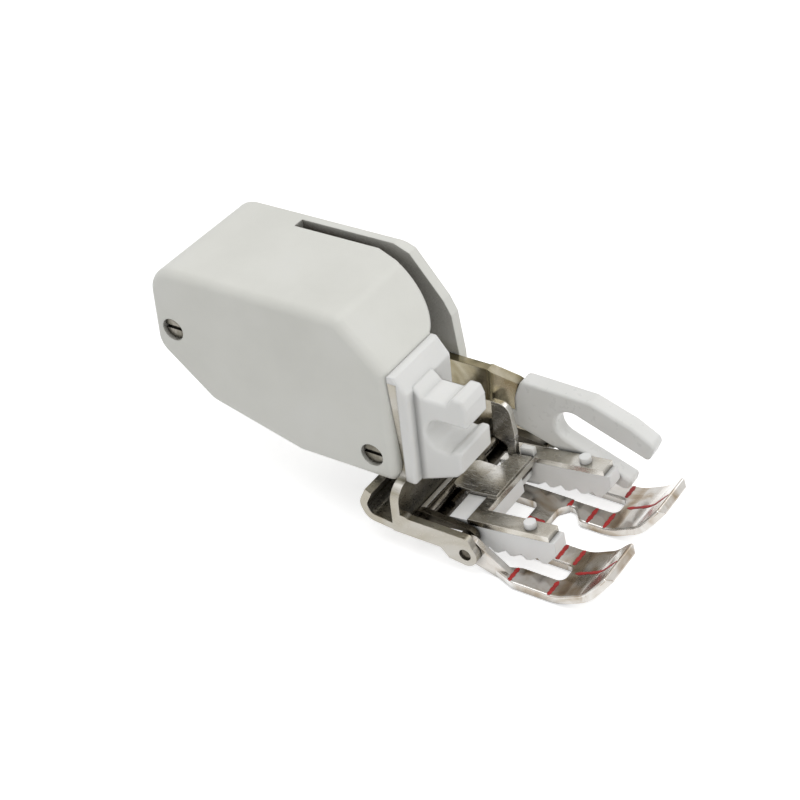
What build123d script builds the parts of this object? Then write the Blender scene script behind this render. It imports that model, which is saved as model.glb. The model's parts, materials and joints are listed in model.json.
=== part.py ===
from build123d import *
import os
from math import atan2, cos, degrees, hypot, radians, sin

os.makedirs("parts", exist_ok=True)

# Walking presser foot for a low-shank sewing machine, in millimetres.
# X points to the operator's right, Y to the back, Z up; the sole stands on z = 0.

# fits shared by the pieces
run_fit = 0.05
past = 1.0
level = 0.01
upright = 0.9
wire_sides = 8

# cover shell over the drive
cover_near_x = -9.2
cover_far_x = 9.3
cover_wall = 1.5
cover_front_y = 13.45
cover_base_z = 8.4
cover_base_end_y = 27.75
cover_mid_y = 40.95
cover_mid_z = 12.0
cover_heel_y = 48.45
cover_heel_z = 18.6
cover_rear_y = 47.85
cover_top_z = 30.4
cover_slope_y = 19.65
cover_slope_z = 24.3
cover_base_r = 3.0
cover_mid_r = 2.5
cover_heel_r = 3.0
cover_crown_r = 4.0
cover_brow_r = 1.6
cover_lip_r = 1.3
cover_near_rim = 1.2
cover_far_rim = 0.6
cover_mouth_end_y = 29.25
cover_window_low_z = 10.2
cover_window_top_z = 22.0
cover_window_far_x = -0.6

# channel for the fork lever on the far side of the cover
channel_near_x = 6.1
channel_far_x = 7.75
channel_end_y = 36.25
channel_bend_y = 23.65
corner_x = 0.75
corner_low_z = 24.4
corner_mid_x = 3.5
corner_bulge = 0.3
corner_top_x = 4.4
corner_drop = 1.0
corner_back_y = 19.55
flank_top_y = 22.65
flank_brow_y = 20.45
flank_brow_drop = 0.9
flank_knee_y = 16.15
flank_knee_z = 23.9
flank_chin_y = 15.15
flank_chin_z = 21.9
flank_foot_y = 14.45
flank_foot_z = 16.1

# back plate, cheeks and heel of the main frame
plate_y = 12.25
plate_t = 1.2
plate_top_z = 23.4
plate_top_near_x = -9.0
plate_waist_near_x = -7.7
plate_waist_z = 9.7
plate_far_x = 0.75
plate_far_waist_x = 3.0
flare_top_z = 9.1
flare_out_r = 2.2
flare_r = 1.4
shoulder_z = 6.9
frame_half = 11.15
cheek_t = 1.0
cheek_base_z = 2.85
cheek_top_z = 5.4
cheek_dip_y = 11.25
cheek_nose_y = 2.85
cheek_step_y = 6.75
cheek_step_low_y = 5.65
cheek_step_low_z = 1.6
cheek_nose_r = 0.7
boss_r = 1.6
heel_t = 1.0
heel_front_y = 12.15
heel_knee_y = 16.8
heel_knee_z = 3.9
heel_rise_y = 17.6
heel_rise_z = 5.6
heel_end_y = 16.6
heel_end_z = 7.7
heel_r = 1.3
tail_gap_near_x = 1.9
tail_gap_far_x = 4.5
tail_gap_end_y = 18.85
tail_gap_top_z = 8.6
flange_t = 1.0
flange_base_z = 10.8
flange_base_end_y = 28.25
flange_mid_y = 39.65
flange_mid_z = 14.2
flange_rear_y = 46.45
flange_rear_z = 20.0
flange_top_z = 25.5
flange_top_y = 42.75
flange_front_top_z = 19.5
flange_top_front_y = 21.25

# pivots, as seen from the side
lever_y = 40.25
lever_z = 20.6
rocker_y = 10.45
rocker_z = 4.15
sole_y = 3.35
sole_z = 2.9
lever_shaft_r = 1.3
rocker_shaft_r = 0.7
sole_pin_r = 0.8
sole_pin_inset = 0.3
shaft_end_depth = 0.9
lever_travel = 42.0
drive_ratio = 0.25

# cover screws
screw_head_r = 1.5
screw_head_t = 0.9
screw_shank_r = 0.8
screw_slot_w = 0.5
screw_slot_d = 0.4
screw_recess = 0.5
screw_rear_y = 45.25
screw_rear_z = 21.7
screw_front_y = 16.75
screw_front_z = 11.9

# attaching head with the slot for the machine's clamp screw
head_near_x = -9.0
head_far_x = 0.75
head_face_y = 10.85
head_brow_y = 12.35
head_top_z = 24.3
head_brow_z = 22.3
head_base_z = 9.0
hook_near_x = -7.6
hook_far_x = -0.8
finger_far_x = -3.3
slot_z = 16.5
slot_y = 7.45
slot_r = 2.25
jaw_front_y = 5.05
jaw_base_z = 11.0
jaw_lip_z = 14.8
jaw_lip_y = 6.0
jaw_floor_y = 6.7
jaw_r = 0.3
jaw_rim_r = 0.45
jaw_heel_y = 8.85
jaw_heel_z = 9.8
finger_front_y = 3.85
finger_t = 2.7
finger_bump_rise = 1.15
finger_bump_front_y = 4.35
finger_bump_rear_y = 5.65
finger_bump_end_y = 6.65
finger_root_rise = 1.15
finger_r = 0.45
head_rim_r = 0.5
clamp_t = 0.9
clamp_front_y = 5.65
clamp_top_z = 20.7
clamp_gap = 0.1
rivet_x = -4.5
rivet_high_z = 20.2
rivet_low_z = 12.4
rivet_r = 0.9
rivet_depth = 0.9
rivet_head_r = 1.6
rivet_head_t = 0.7

# fork lever, its moulded fork and the lift crank
lever_t = 1.2
lever_x = 6.95
lever_hub_r = 3.6
lever_crest_y = 21.25
lever_crest_z = 17.6
lever_top_y = 16.25
lever_top_z = 16.5
lever_joggle_y = 9.65
lever_tongue_y = 6.65
lever_tongue_top_z = 13.7
lever_tongue_base_z = 9.6
lever_tongue_end_y = 2.85
lever_base_z = 11.8
lever_base_y = 17.25
lever_belly_y = 26.25
lever_belly_z = 14.0
lever_bend_r = 0.8
fork_inset = 0.45
fork_w = 2.5
fork_rear_top_y = 6.25
fork_rear_top_z = 14.6
fork_back_y = 8.05
fork_back_z = 10.5
fork_rear_base_y = 7.65
fork_rear_base_z = 7.5
fork_belly_y = 2.45
fork_belly_z = 5.9
fork_low_y = -8.15
fork_low_z = 2.4
fork_low_tip_y = -8.75
fork_low_tip_z = 4.4
fork_high_tip_y = -10.95
fork_high_tip_z = 8.0
fork_nose_y = -11.95
fork_nose_z = 10.5
fork_brow_y = -8.65
fork_brow_z = 12.4
fork_crest_y = -3.35
fork_crest_z = 14.3
fork_slot_y = -0.55
fork_slot_z = 9.62
fork_slot_w = 4.4
fork_slot_pitch = 20.5
fork_slot_run = 16.0
fork_r = 0.9
fork_tip_r = 0.5
fork_rim_r = 0.4
crank_near_x = 4.0
crank_t = 2.1
crank_hub_r = 3.4
crank_arm_w = 4.8
crank_reach = 8.0
crank_play = 0.25
crank_slot_bottom = 4.7
crank_rivet_r = 0.6
crank_rivet_out = 2.4

# lever shaft fittings
spacer_r = 1.8
spacer_far_x = 3.2
clip_t = 0.6
clip_r = 2.6
clip_gap_w = 1.6
coil_r = 2.5
coil_wire = 0.35
coil_pitch = 0.6
coil_turns = 5
coil_start_x = -5.6
coil_leg = 6.0

# rocker that lifts and lowers the feed shoes
arm_gap = 0.15
arm_t = 0.85
arm_r = 1.25
arm_end_y = 4.15
arm_end_z = 3.75
web_t = 0.85
web_base_z = 2.4
web_front_y = 8.85
web_rear_y = 11.45
lip_t = 0.6
lip_top_z = 3.8
lip_half = 4.2
tail_x = 2.6
tail_t = 1.2
tail_w = 2.7
tail_hub_r = 1.5
roller_r = 1.2
roller_pin_r = 0.7
roller_gap = 0.1
roller_eye_r = 1.9

# feed carriage: pressed deck with two arms, pitched nose up at rest
deck_y = 3.25
deck_z = 5.7
deck_pitch = 7.5
deck_t = 0.8
foot_gap = 0.25
foot_w = 2.35
arm_front = -9.6
deck_rear = 3.9
deck_back = 4.1
deck_bar = 1.5
deck_near_x = -3.2
notch_front = 3.2
notch_room = 0.2
wall_over = 0.6
wall_t = 0.8
wall_top_z = 12.6
wall_front_y = 5.75
wall_front_z = 8.3
wall_rear_y = 8.85
wall_step_z = 7.4
wall_top_r = 1.6
wall_crest_y = 6.45
wall_foot_z = 4.6
wall_root_y = 6.95
stud_r = 0.75
stud_high = 0.75
stud_run = -6.6
slide_travel = 2.2

# moulded feed shoes under the carriage
shoe_high = 3.4
shoe_front = -10.3
shoe_rear = 2.2
shoe_nose_r = 1.6
tooth_pitch = 2.2
tooth_deep = 0.6
tooth_count = 4
tooth_first = -8.6
block_deep = 2.5
block_low = 2.05
block_far_x = 2.2
shelf_gap = 0.1
shelf_sunk = 0.15
shelf_t = 0.8
shelf_rear = 4.1
tab_over = 0.15
tab_t = 0.8
tab_front = 0.2
tab_rear = 2.0
tab_high = 1.0
cross_pin_r = 0.7
cross_pin_run = 1.4
cross_pin_low = -1.75
push_coil_r = 0.8
push_wire = 0.22
push_turns = 4
push_x = 2.4
push_low = -1.9

# hinged open-toe sole
sole_t = 1.15
toe_spread = 1.9
toe_inset = 0.05
toe_rail_w = 2.9
toe_slot_w = 2.8
toe_slot_front_y = -8.15
toe_rear_y = -0.15
toe_bend_y = -8.75
toe_lift_y = -12.65
toe_lift_z = 2.5
toe_tip_y = -15.05
toe_tip_z = 5.4
toe_bend_r = 6.0
toe_lift_r = 5.0
toe_corner_r = 3.4
toe_nose = 0.8
toe_neck_y = -2.8
toe_neck_r = 1.5
rail_soft_r = 0.25
needle_rail_w = 1.3
needle_front_y = -4.55
needle_step_y = -3.15
needle_rear_y = -1.25
needle_r = 0.9
needle_flare = 1.2
bridge_rear_y = 1.25
tie_front_y = 5.75
tie_rear_y = 7.25
lug_gap = 0.07
lug_t = 0.88
lug_r = 1.7
lug_foot_y = -0.35
lug_foot_front_y = -1.95
lug_foot_r = 0.55


def block(x0, x1, y0, y1, z0, z1, mode=Mode.ADD):
    with Locations(((x0 + x1) / 2, (y0 + y1) / 2, (z0 + z1) / 2)):
        Box(x1 - x0, y1 - y0, z1 - z0, mode=mode)


def rod(x0, x1, y, z, r, mode=Mode.ADD):
    with Locations(Location(((x0 + x1) / 2, y, z), (0, 90, 0))):
        Cylinder(r, x1 - x0, mode=mode)


def save(piece, name):
    piece.part.label = name
    export_step(piece.part, "parts/" + name + ".step")


# the line between the two pivots sets where crank and roller meet
pivot_gap_y = rocker_y - lever_y
pivot_gap_z = rocker_z - lever_z
pivot_gap = hypot(pivot_gap_y, pivot_gap_z)
pivot_angle = degrees(atan2(pivot_gap_z, pivot_gap_y))
crank_r = pivot_gap * drive_ratio / (1 + drive_ratio)
roller_arm = pivot_gap - crank_r
crank_angle = pivot_angle + lever_travel / 2
roller_angle = pivot_angle + 180 - lever_travel * drive_ratio / 2
roller_y = rocker_y + roller_arm * cos(radians(roller_angle))
roller_z = rocker_z + roller_arm * sin(radians(roller_angle))

corner_top_z = cover_top_z - corner_drop
corner_mid_z = (corner_low_z + corner_top_z) / 2 - corner_bulge
flank_brow_z = cover_top_z - flank_brow_drop
plate_rear_y = plate_y + plate_t
finger_top_z = slot_z + slot_r + finger_t
finger_bump_z = finger_top_z + finger_bump_rise
finger_root_z = finger_top_z + finger_root_rise

# across the foot, each piece stands a clearance inside the one outside it
cheek_in_x = frame_half - cheek_t
lug_out_x = cheek_in_x - lug_gap
lug_in_x = lug_out_x - lug_t
arm_near_x = lug_in_x - arm_gap - arm_t
foot_out_x = arm_near_x - foot_gap
foot_in_x = foot_out_x - foot_w
arm_mid_x = (foot_in_x + foot_out_x) / 2
wall_out_x = foot_in_x + wall_over
tab_near_x = foot_in_x + tab_over
toe_out_x = frame_half - toe_inset
toe_slot_out_x = toe_out_x - toe_rail_w
toe_slot_in_x = toe_slot_out_x - toe_slot_w
needle_half = toe_slot_in_x - needle_rail_w
rail_in_x = needle_half - needle_flare
toe_in_x = needle_half - toe_spread
toe_w = toe_spread + needle_rail_w + toe_slot_w + toe_rail_w
lug_inset = cheek_t + lug_gap - toe_inset
fork_far_x = frame_half - fork_inset
fork_near_x = fork_far_x - fork_w
lever_tongue_x = (fork_near_x + fork_far_x) / 2
flange_x = cover_near_x + cover_wall
flange_face_x = flange_x + flange_t

# the cover's side outline, used for the shell and its hollow
with BuildSketch() as cover_outline:
    with BuildLine():
        FilletPolyline(
            (cover_front_y, cover_base_z),
            (cover_base_end_y, cover_base_z),
            (cover_mid_y, cover_mid_z),
            (cover_heel_y, cover_heel_z),
            (cover_rear_y, cover_top_z),
            (cover_slope_y, cover_top_z),
            (cover_front_y, cover_slope_z),
            radius=[
                cover_lip_r,
                cover_base_r,
                cover_mid_r,
                cover_heel_r,
                cover_crown_r,
                cover_brow_r,
                cover_lip_r,
            ],
            close=True,
        )
    make_face()

with BuildSketch() as cover_hollow:
    add(cover_outline.sketch_local)
    offset(amount=-cover_wall)

with BuildPart() as housing:
    with BuildSketch(Plane.YZ.offset(cover_near_x)):
        add(cover_outline.sketch_local)
    extrude(amount=cover_far_x - cover_near_x)
    fillet(housing.faces().sort_by(Axis.X)[0].edges(), cover_near_rim)
    fillet(housing.faces().sort_by(Axis.X)[-1].edges(), cover_far_rim)
    with BuildSketch(Plane.YZ.offset(flange_x)):
        add(cover_hollow.sketch_local)
    extrude(amount=channel_far_x - flange_x, mode=Mode.SUBTRACT)
    # open underside at the front, where the rocker's tail comes in
    block(
        flange_x,
        channel_far_x,
        cover_front_y - past,
        cover_mouth_end_y,
        cover_base_z - past,
        cover_base_z + cover_wall + past,
        mode=Mode.SUBTRACT,
    )
    # window behind the back plate
    block(
        flange_x,
        cover_window_far_x,
        cover_front_y - past,
        cover_front_y + cover_wall + past,
        cover_window_low_z,
        cover_window_top_z,
        mode=Mode.SUBTRACT,
    )
    # open front corner and top slot for the lever
    with BuildSketch(Plane.XZ.offset(-corner_back_y)):
        with BuildLine():
            Polyline(
                (corner_x, corner_low_z),
                (corner_x, cover_base_z - past),
                (channel_far_x, cover_base_z - past),
                (channel_far_x, cover_top_z + past),
                (corner_top_x, cover_top_z + past),
                (corner_top_x, corner_top_z),
            )
            ThreePointArc(
                (corner_top_x, corner_top_z),
                (corner_mid_x, corner_mid_z),
                (corner_x, corner_low_z),
            )
        make_face()
    extrude(amount=corner_back_y - cover_front_y + past, mode=Mode.SUBTRACT)
    with BuildSketch(Plane.XY.offset(corner_low_z)):
        with BuildLine():
            Polyline(
                (corner_top_x, corner_back_y - past),
                (corner_top_x, corner_back_y),
                (channel_near_x, channel_bend_y),
                (channel_near_x, channel_end_y),
                (channel_far_x, channel_end_y),
                (channel_far_x, corner_back_y - past),
                close=True,
            )
        make_face()
    extrude(amount=cover_top_z - corner_low_z + past, mode=Mode.SUBTRACT)
    # the far flank stands a little further back than the near side
    with BuildSketch(Plane.YZ.offset(channel_far_x)):
        with BuildLine():
            FilletPolyline(
                (flank_top_y, cover_top_z + past),
                (flank_top_y, cover_top_z),
                (flank_brow_y, flank_brow_z),
                (flank_knee_y, flank_knee_z),
                (flank_chin_y, flank_chin_z),
                (flank_foot_y, flank_foot_z),
                (flank_foot_y, cover_base_z - past),
                (cover_front_y - past, cover_base_z - past),
                (cover_front_y - past, cover_top_z + past),
                radius=0,
                close=True,
            )
        make_face()
    extrude(amount=cover_far_x - channel_far_x + past, mode=Mode.SUBTRACT)
    # screw recesses, screw holes and the far seat of the lever shaft
    for y, z in ((screw_rear_y, screw_rear_z), (screw_front_y, screw_front_z)):
        rod(
            cover_near_x - past,
            cover_near_x + screw_recess + screw_head_t,
            y,
            z,
            screw_head_r + run_fit,
            mode=Mode.SUBTRACT,
        )
        rod(cover_near_x, flange_x + past, y, z, screw_shank_r + run_fit, mode=Mode.SUBTRACT)
    rod(
        channel_far_x - past,
        channel_far_x + shaft_end_depth,
        lever_y,
        lever_z,
        lever_shaft_r,
        mode=Mode.SUBTRACT,
    )
save(housing, "housing")

# pressed frame: back plate, two cheeks, heel and the flange inside the cover
with BuildPart() as main_frame:
    with BuildSketch(Plane.XZ.offset(-plate_rear_y)):
        with BuildLine():
            FilletPolyline(
                (plate_top_near_x, plate_top_z),
                (plate_waist_near_x, plate_waist_z),
                (-frame_half, flare_top_z),
                (-frame_half, cheek_base_z),
                (frame_half, cheek_base_z),
                (frame_half, flare_top_z),
                (plate_far_waist_x, plate_waist_z),
                (plate_far_x, plate_waist_z + flare_r),
                (plate_far_x, plate_top_z),
                radius=[0, flare_r, flare_out_r, 0, 0, flare_out_r, flare_r, 0, 0],
                close=True,
            )
        make_face()
    extrude(amount=plate_t)
    with BuildSketch(Plane.YZ.offset(-frame_half)):
        with BuildLine():
            FilletPolyline(
                (plate_rear_y, cheek_base_z),
                (plate_rear_y, shoulder_z),
                (cheek_dip_y, cheek_top_z),
                (cheek_nose_y, cheek_top_z),
                (sole_y - boss_r, sole_z),
                (sole_y, sole_z - boss_r),
                (cheek_step_low_y, cheek_step_low_z),
                (cheek_step_y, cheek_base_z),
                radius=[0, flare_r, cheek_nose_r, cheek_nose_r, 0, 0, 0, 0],
                close=True,
            )
        make_face()
        with Locations((sole_y, sole_z)):
            Circle(boss_r)
    extrude(amount=cheek_t)
    with BuildSketch(Plane.YZ.offset(cheek_in_x)):
        with BuildLine():
            FilletPolyline(
                (plate_rear_y, cheek_base_z),
                (plate_rear_y, shoulder_z),
                (cheek_dip_y, cheek_top_z),
                (cheek_nose_y, cheek_top_z),
                (sole_y - boss_r, sole_z),
                (sole_y, sole_z - boss_r),
                (cheek_step_low_y, cheek_step_low_z),
                (cheek_step_y, cheek_base_z),
                radius=[0, flare_r, cheek_nose_r, cheek_nose_r, 0, 0, 0, 0],
                close=True,
            )
        make_face()
        with Locations((sole_y, sole_z)):
            Circle(boss_r)
    extrude(amount=cheek_t)
    with BuildSketch(Plane.YZ.offset(-frame_half)):
        with BuildLine():
            FilletPolyline(
                (heel_front_y, cheek_base_z + heel_t / 2),
                (heel_knee_y, heel_knee_z),
                (heel_rise_y, heel_rise_z),
                (heel_end_y, heel_end_z),
                radius=[heel_r, heel_r],
            )
        trace(line_width=heel_t)
    extrude(amount=2 * frame_half)
    # room for the rocker's web and tail
    block(
        -cheek_in_x,
        cheek_in_x,
        plate_y - past,
        plate_y,
        cheek_base_z,
        cheek_base_z + heel_t,
        mode=Mode.SUBTRACT,
    )
    block(
        tail_gap_near_x,
        tail_gap_far_x,
        plate_y - past,
        tail_gap_end_y,
        cheek_base_z - past,
        tail_gap_top_z,
        mode=Mode.SUBTRACT,
    )
    # flange against the cover's near wall
    with BuildSketch(Plane.YZ.offset(flange_x)):
        with BuildLine():
            Polyline(
                (plate_y, flange_base_z),
                (flange_base_end_y, flange_base_z),
                (flange_mid_y, flange_mid_z),
                (flange_rear_y, flange_rear_z),
                (flange_rear_y, flange_top_z - flare_r),
                (flange_top_y, flange_top_z),
                (flange_top_front_y, flange_top_z),
                (plate_y, flange_front_top_z),
                close=True,
            )
        make_face()
    extrude(amount=flange_t)
    # holes for the pivots, screws and head rivets
    rod(-frame_half - past, frame_half + past, sole_y, sole_z, sole_pin_r, mode=Mode.SUBTRACT)
    rod(
        -cheek_in_x - cheek_t / 2,
        cheek_in_x + cheek_t / 2,
        rocker_y,
        rocker_z,
        rocker_shaft_r,
        mode=Mode.SUBTRACT,
    )
    rod(flange_x - past, flange_face_x + past, lever_y, lever_z, lever_shaft_r, mode=Mode.SUBTRACT)
    for y, z in ((screw_rear_y, screw_rear_z), (screw_front_y, screw_front_z)):
        rod(flange_x - past, flange_face_x + past, y, z, screw_shank_r, mode=Mode.SUBTRACT)
    with BuildSketch(Plane.XZ.offset(-plate_rear_y)):
        with Locations((rivet_x, rivet_high_z), (rivet_x, rivet_low_z)):
            Circle(rivet_r)
    extrude(amount=plate_t, mode=Mode.SUBTRACT)
save(main_frame, "main_frame")

# open hook for the clamp screw: a lower jaw with a lip and a finger above it
with BuildPart() as clamp_hook:
    with BuildSketch(Plane.YZ.offset(hook_near_x)) as jaw_outline:
        with BuildLine():
            Polyline(
                (head_face_y + past, slot_z),
                (head_face_y + past, head_base_z),
                (head_face_y, head_base_z),
                (jaw_heel_y, jaw_heel_z),
                (jaw_lip_y, jaw_base_z),
                (jaw_front_y, jaw_base_z + past),
                (jaw_front_y, jaw_lip_z),
                (jaw_lip_y, jaw_lip_z),
                (jaw_floor_y, slot_z - slot_r),
                (slot_y, slot_z - slot_r),
            )
            RadiusArc((slot_y, slot_z - slot_r), (slot_y + slot_r, slot_z), -slot_r)
            Line((slot_y + slot_r, slot_z), (head_face_y + past, slot_z))
        make_face()
        fillet(jaw_outline.vertices().filter_by(lambda corner: corner.X < jaw_floor_y), jaw_r)
    extrude(amount=hook_far_x - hook_near_x)
    with BuildSketch(Plane.YZ.offset(hook_near_x)) as finger_outline:
        with BuildLine():
            Polyline(
                (slot_y, slot_z + slot_r),
                (finger_front_y, slot_z + slot_r),
                (finger_front_y, finger_top_z),
                (finger_bump_front_y, finger_bump_z),
                (finger_bump_rear_y, finger_bump_z),
                (finger_bump_end_y, finger_top_z),
                (slot_y + slot_r, finger_top_z),
                (head_face_y, finger_root_z),
                (head_face_y + past, finger_root_z),
                (head_face_y + past, slot_z),
                (slot_y + slot_r, slot_z),
            )
            RadiusArc((slot_y + slot_r, slot_z), (slot_y, slot_z + slot_r), -slot_r)
        make_face()
        fillet(finger_outline.vertices().filter_by(lambda corner: corner.X < slot_y - past / 2), finger_r)
    extrude(amount=finger_far_x - hook_near_x)
    fillet(clamp_hook.faces().sort_by(Axis.X)[0].edges(), jaw_rim_r)
    fillet(clamp_hook.faces().sort_by(Axis.X)[-1].edges(), jaw_rim_r)

# moulded head: a block on the back plate that carries the hook
with BuildPart() as attaching_head:
    with BuildSketch(Plane.YZ.offset(head_near_x)):
        with BuildLine():
            Polyline(
                (plate_y, head_base_z),
                (plate_y, plate_top_z),
                (plate_rear_y, plate_top_z),
                (plate_rear_y, head_top_z),
                (head_brow_y, head_top_z),
                (head_face_y, head_brow_z),
                (head_face_y, head_base_z),
                close=True,
            )
        make_face()
    extrude(amount=head_far_x - head_near_x)
    rims = attaching_head.edges().filter_by(lambda rim: rim.center().Y < plate_y - head_rim_r / 2)
    fillet(rims, head_rim_r)
    add(clamp_hook.part)
    with BuildSketch(Plane.XZ.offset(-plate_y)):
        with Locations((rivet_x, rivet_high_z), (rivet_x, rivet_low_z)):
            Circle(rivet_r)
    extrude(amount=rivet_depth, mode=Mode.SUBTRACT)
save(attaching_head, "attaching_head")

# steel cheek plate over the slot
with BuildPart() as clamp_plate:
    with BuildSketch(Plane.YZ.offset(finger_far_x)):
        with BuildLine():
            Polyline(
                (slot_y, slot_z + slot_r + clamp_gap),
                (clamp_front_y, slot_z + slot_r + clamp_gap),
                (clamp_front_y, clamp_top_z),
                (head_face_y, clamp_top_z),
                (head_face_y, slot_z),
                (slot_y + slot_r + clamp_gap, slot_z),
            )
            RadiusArc(
                (slot_y + slot_r + clamp_gap, slot_z),
                (slot_y, slot_z + slot_r + clamp_gap),
                -slot_r - clamp_gap,
            )
        make_face()
    extrude(amount=clamp_t)
save(clamp_plate, "clamp_plate")

with BuildPart() as head_rivets:
    with BuildSketch(Plane.XZ.offset(-plate_rear_y)):
        with Locations((rivet_x, rivet_high_z), (rivet_x, rivet_low_z)):
            Circle(rivet_r)
    extrude(amount=plate_t + rivet_depth)
    with BuildSketch(Plane.XZ.offset(-plate_rear_y)):
        with Locations((rivet_x, rivet_high_z), (rivet_x, rivet_low_z)):
            Circle(rivet_head_r)
    extrude(amount=-rivet_head_t)
save(head_rivets, "head_rivets")

# slotted cover screws
with BuildPart() as housing_screws:
    for y, z in ((screw_rear_y, screw_rear_z), (screw_front_y, screw_front_z)):
        head_x = cover_near_x + screw_recess
        rod(head_x, head_x + screw_head_t, y, z, screw_head_r)
        rod(head_x + screw_head_t, flange_face_x, y, z, screw_shank_r)
        block(
            head_x - past,
            head_x + screw_slot_d,
            y - screw_head_r - past,
            y + screw_head_r + past,
            z - screw_slot_w / 2,
            z + screw_slot_w / 2,
            mode=Mode.SUBTRACT,
        )
save(housing_screws, "housing_screws")

# shafts and pins of the root
with BuildPart() as lever_shaft:
    rod(flange_x, channel_far_x + shaft_end_depth, lever_y, lever_z, lever_shaft_r)
save(lever_shaft, "lever_shaft")

with BuildPart() as shaft_spacer:
    rod(flange_face_x, spacer_far_x, lever_y, lever_z, spacer_r)
    rod(flange_face_x, spacer_far_x, lever_y, lever_z, lever_shaft_r, mode=Mode.SUBTRACT)
save(shaft_spacer, "shaft_spacer")

with BuildPart() as shaft_clip:
    rod(spacer_far_x, spacer_far_x + clip_t, lever_y, lever_z, clip_r)
    rod(spacer_far_x, spacer_far_x + clip_t, lever_y, lever_z, lever_shaft_r, mode=Mode.SUBTRACT)
    block(
        spacer_far_x,
        spacer_far_x + clip_t,
        lever_y - clip_gap_w / 2,
        lever_y + clip_gap_w / 2,
        lever_z,
        lever_z + clip_r + past,
        mode=Mode.SUBTRACT,
    )
save(shaft_clip, "shaft_clip")

with BuildPart() as rocker_shaft:
    rod(-cheek_in_x - cheek_t / 2, cheek_in_x + cheek_t / 2, rocker_y, rocker_z, rocker_shaft_r)
save(rocker_shaft, "rocker_shaft")

with BuildPart() as sole_pins:
    pin_in_x = arm_near_x + arm_t + run_fit
    rod(pin_in_x, frame_half - sole_pin_inset, sole_y, sole_z, sole_pin_r)
    rod(-frame_half + sole_pin_inset, -pin_in_x, sole_y, sole_z, sole_pin_r)
save(sole_pins, "sole_pins")

# torsion spring that holds the fork lever down
with BuildPart() as lever_spring:
    with BuildLine() as coil_path:
        coil = Helix(
            pitch=coil_pitch,
            height=coil_pitch * coil_turns,
            radius=coil_r,
            center=(coil_start_x, lever_y, lever_z),
            direction=(1, 0, 0),
        )
        Line(coil @ 1, coil @ 1 + (coil % 1) * coil_leg)
    with BuildSketch(Plane(origin=coil @ 0, z_dir=coil % 0)):
        RegularPolygon(coil_wire / 2, wire_sides)
    sweep()
save(lever_spring, "lever_spring")

# fork lever: one plate, joggled outwards in front of the cover
with BuildPart() as fork_lever:
    with BuildSketch(Plane.XY):
        with BuildLine():
            FilletPolyline(
                (lever_x, lever_y + lever_hub_r + past),
                (lever_x, lever_joggle_y),
                (lever_tongue_x, lever_tongue_y),
                (lever_tongue_x, lever_tongue_end_y),
                radius=[lever_bend_r, lever_bend_r],
            )
        trace(line_width=lever_t)
    extrude(amount=cover_top_z)
    with BuildSketch(Plane.YZ):
        with BuildLine():
            Polyline(
                (lever_y, lever_z + lever_hub_r),
                (lever_crest_y, lever_crest_z),
                (lever_top_y, lever_top_z),
                (lever_joggle_y, lever_top_z),
                (lever_tongue_y, lever_tongue_top_z),
                (lever_tongue_end_y, lever_tongue_top_z),
                (lever_tongue_end_y, lever_tongue_base_z),
                (lever_tongue_y, lever_tongue_base_z),
                (lever_joggle_y, lever_base_z),
                (lever_base_y, lever_base_z),
                (lever_belly_y, lever_belly_z),
                (lever_y, lever_z - lever_hub_r),
                close=True,
            )
        make_face()
        with Locations((lever_y, lever_z)):
            Circle(lever_hub_r)
    extrude(amount=frame_half, mode=Mode.INTERSECT)
    rod(0, frame_half, lever_y, lever_z, lever_shaft_r + run_fit, mode=Mode.SUBTRACT)
    for side in (-1, 1):
        rivet_y = lever_y + side * crank_rivet_out * cos(radians(crank_angle + 90))
        rivet_z = lever_z + side * crank_rivet_out * sin(radians(crank_angle + 90))
        rod(0, frame_half, rivet_y, rivet_z, crank_rivet_r, mode=Mode.SUBTRACT)
save(fork_lever, "fork_lever")

# moulded fork that rides on the needle clamp screw
with BuildPart() as fork_cap:
    with BuildSketch(Plane.YZ.offset(fork_near_x)) as fork_outline:
        with BuildLine():
            FilletPolyline(
                (fork_rear_top_y, fork_rear_top_z),
                (fork_crest_y, fork_crest_z),
                (fork_brow_y, fork_brow_z),
                (fork_nose_y, fork_nose_z),
                (fork_high_tip_y, fork_high_tip_z),
                (fork_low_tip_y, fork_low_tip_z),
                (fork_low_y, fork_low_z),
                (fork_belly_y, fork_belly_z),
                (fork_rear_base_y, fork_rear_base_z),
                (fork_back_y, fork_back_z),
                radius=[fork_r, fork_r, fork_r, fork_r, 0, 0, fork_r, fork_r, fork_r, fork_r],
                close=True,
            )
        make_face()
        slot_cos = cos(radians(fork_slot_pitch))
        slot_sin = sin(radians(fork_slot_pitch))
        slot_mid_y = fork_slot_y - fork_slot_run / 2 * slot_cos
        slot_mid_z = fork_slot_z - fork_slot_run / 2 * slot_sin
        with Locations((slot_mid_y, slot_mid_z)):
            SlotCenterToCenter(
                fork_slot_run, fork_slot_w, rotation=fork_slot_pitch, mode=Mode.SUBTRACT
            )
        mouth_y = (fork_high_tip_y + fork_low_tip_y) / 2
        mouth_z = (fork_high_tip_z + fork_low_tip_z) / 2
        tips = fork_outline.vertices().sort_by_distance((mouth_y, mouth_z))[:2]
        fillet(tips, fork_tip_r)
    extrude(amount=fork_far_x - fork_near_x)
    fillet(fork_cap.faces().sort_by(Axis.X)[0].edges(), fork_rim_r)
    fillet(fork_cap.faces().sort_by(Axis.X)[-1].edges(), fork_rim_r)
    add(fork_lever.part, mode=Mode.SUBTRACT)
save(fork_cap, "fork_cap")

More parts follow.
